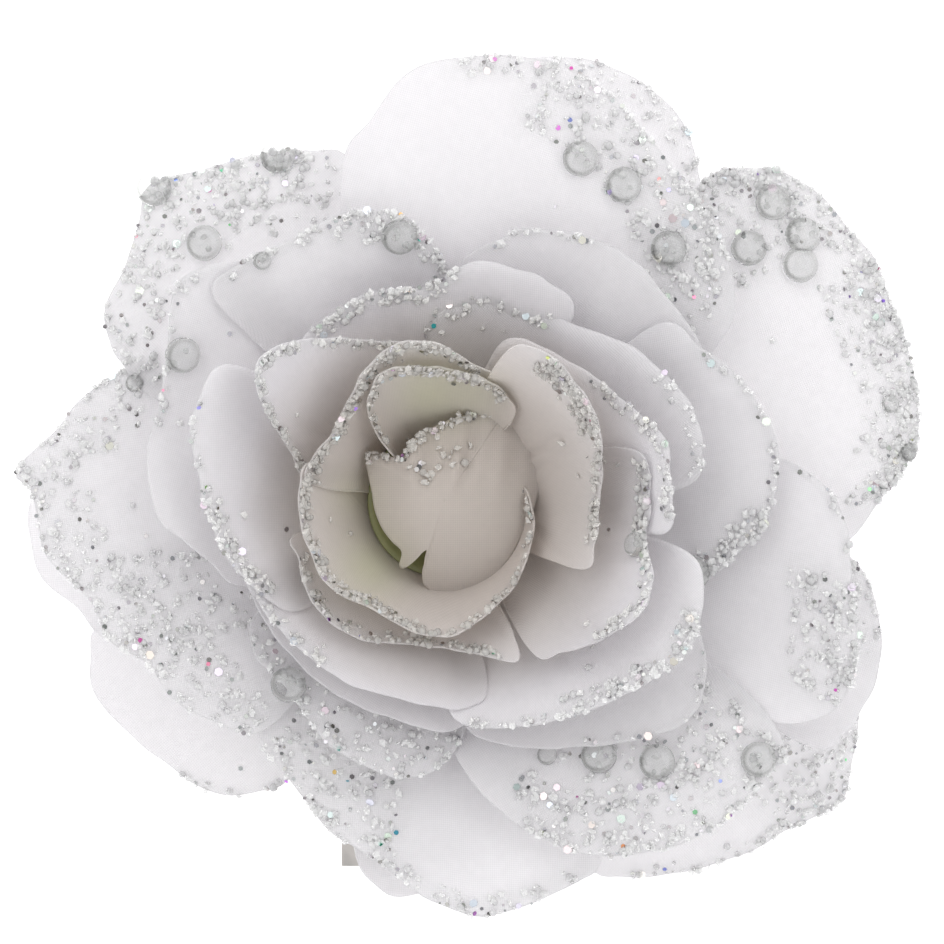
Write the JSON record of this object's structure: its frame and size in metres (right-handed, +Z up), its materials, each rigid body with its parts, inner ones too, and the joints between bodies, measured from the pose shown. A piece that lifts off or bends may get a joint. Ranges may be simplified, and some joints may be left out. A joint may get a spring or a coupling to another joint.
{
  "type": "flower hair clip",
  "caption": "Layered white fabric rose with glitter rims and clear dewdrop beads, on a sprung two-plate metal hair clip.",
  "frame": {"origin": "centre of the overall box, on the surface the clip lies on", "axes": "+Z up along the flower's axis, clip along Y with its handles towards -Y"},
  "size_m": [0.1082, 0.1044, 0.0433],
  "materials": {
    "white_fabric": "translucent woven",
    "white_felt": "matt felt",
    "green_plastic": "matt",
    "clear_acrylic": "clear",
    "clear_glue": "cloudy",
    "nickel_steel": "satin nickel plate"
  },
  "bodies": {
    "flower": {"clip_fixed_plate": "nickel_steel", "clip_hinge_pin": "nickel_steel", "clip_spring": "nickel_steel", "felt_pad": "white_felt", "glue": "clear_glue", "hub": "green_plastic", "bud_core": "green_plastic", "petals_back": "white_fabric", "petals_outer": "white_fabric", "petals_front": "white_fabric", "petals_middle": "white_fabric", "petals_inner": "white_fabric", "petals_cup": "white_fabric", "petals_ring": "white_fabric", "petals_bud": "white_fabric", "dewdrops_outer": "clear_acrylic", "dewdrops_front": "clear_acrylic", "dewdrops_middle": "clear_acrylic", "dewdrops_inner": "clear_acrylic"},
    "moving_plate": {"clip_moving_plate": "nickel_steel"}
  },
  "joints": [
    {"name": "jaw_hinge", "type": "hinge", "parent": "flower", "child": "moving_plate", "pos_m": [-0.0097, -0.02619, 0.00641], "axis": [-1, 0, 0], "range_deg": [0, 25], "stiffness_Nm_per_rad": 0.08, "springref_deg": -68.75, "deforming": ["clip_spring"]}
  ]
}
